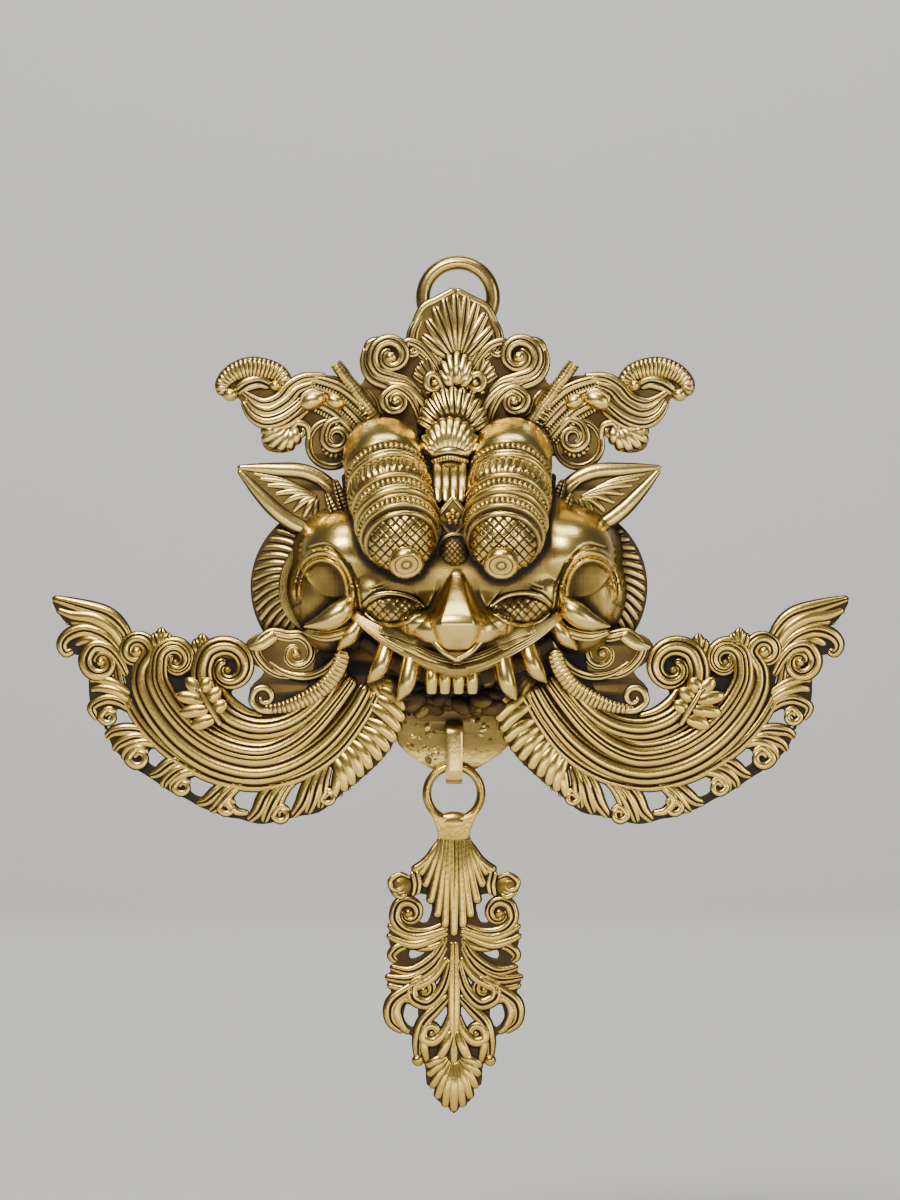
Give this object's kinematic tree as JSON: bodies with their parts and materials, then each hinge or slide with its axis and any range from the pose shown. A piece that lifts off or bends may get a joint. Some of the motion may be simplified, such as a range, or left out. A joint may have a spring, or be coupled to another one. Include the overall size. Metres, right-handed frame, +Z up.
{
  "type": "kirtimukha mask",
  "caption": "Cast brass lion-face wall mask with leafy crown and wings, hollow at the back, with a hanging loop and a leaf pendant on a link.",
  "frame": {"origin": "the inner top of the hanging loop, where a nail or hook bears, on the plane of the wall", "axes": "+Z up, +Y into the wall, so the face looks along -Y, +X to the right as seen from the front"},
  "size_m": [0.352, 0.0818, 0.3787],
  "materials": {
    "cast_brass": "cast, chased and polished on the high places, with dark brown patina in the recesses",
    "pendant_brass": "cast and polished, slightly more olive, with dark brown patina in the recesses"
  },
  "bodies": {
    "root": {"mask": "cast_brass", "link": "cast_brass", "pendant": "pendant_brass"}
  },
  "joints": []
}
